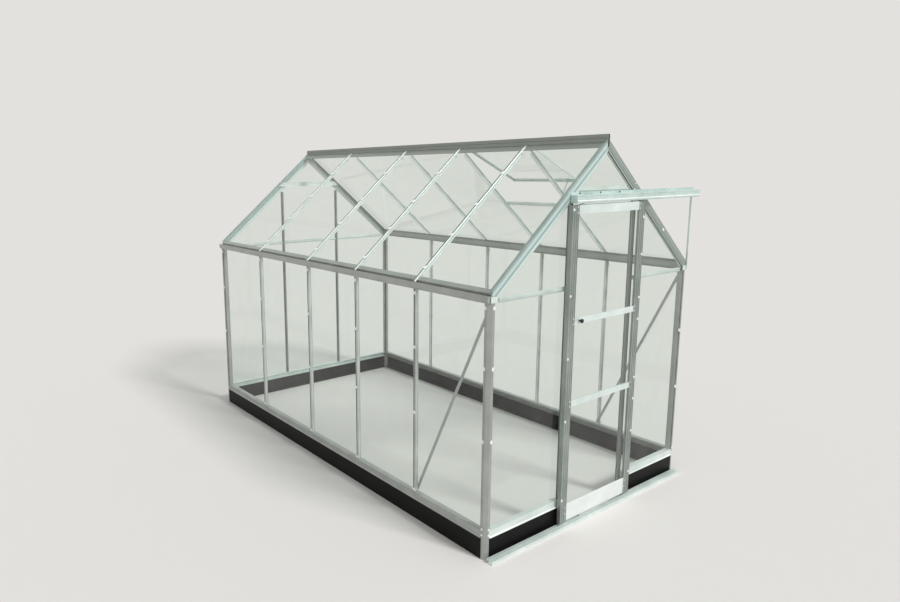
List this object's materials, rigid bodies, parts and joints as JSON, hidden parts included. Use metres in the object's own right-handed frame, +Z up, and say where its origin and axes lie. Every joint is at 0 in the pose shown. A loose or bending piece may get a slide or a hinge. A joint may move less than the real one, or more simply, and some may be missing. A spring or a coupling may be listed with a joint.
{
  "type": "greenhouse",
  "caption": "Small aluminium greenhouse with a pitched glass roof, a sliding glazed door on a top track, a roof vent propped open, side gutters and a low black base.",
  "frame": {"origin": "on the ground, in the middle of the space that the greenhouse takes up", "axes": "+X across the front from left to right, +Y from the door gable to the rear gable, +Z up"},
  "size_m": [1.96, 3.4659, 2.372],
  "materials": {
    "aluminium": "mill finish, weathered",
    "glass": "clear horticultural glass",
    "plinth": "black, satin",
    "black_plastic": "satin"
  },
  "bodies": {
    "house": {"base_front": "plinth", "base_left": "plinth", "base_rear": "plinth", "base_right": "plinth", "door_posts": "aluminium", "door_track": "aluminium", "floor_track": "aluminium", "front_corner_posts": "aluminium", "front_cross_rail": "aluminium", "front_eave_ties": "aluminium", "front_gable_bars": "aluminium", "front_glass": "glass", "left_gutter": "aluminium", "left_roof_bars": "aluminium", "left_roof_glass": "glass", "left_wall_bars": "aluminium", "left_wall_glass": "glass", "rear_corner_posts": "aluminium", "rear_cross_rail": "aluminium", "rear_eave_ties": "aluminium", "rear_gable_bars": "aluminium", "rear_glass": "glass", "rear_posts": "aluminium", "ridge": "aluminium", "right_gutter": "aluminium", "right_roof_bars": "aluminium", "right_roof_glass": "glass", "right_wall_bars": "aluminium", "right_wall_glass": "glass", "sill_front": "aluminium", "sill_left": "aluminium", "sill_rear": "aluminium", "sill_right": "aluminium", "track_strut": "aluminium", "vent_frame": "aluminium", "vent_glass": "glass", "vent_sill": "aluminium", "vent_stay": "aluminium", "wall_braces": "aluminium"},
    "door": {"door_stiles": "aluminium", "door_rails": "aluminium", "door_kick_panel": "aluminium", "door_glass": "glass", "door_hangers": "aluminium", "door_knob": "black_plastic"}
  },
  "joints": [
    {"name": "door_slide", "type": "slide", "parent": "house", "child": "door", "axis": [1, 0, 0], "range_m": [0, 0.64]}
  ]
}
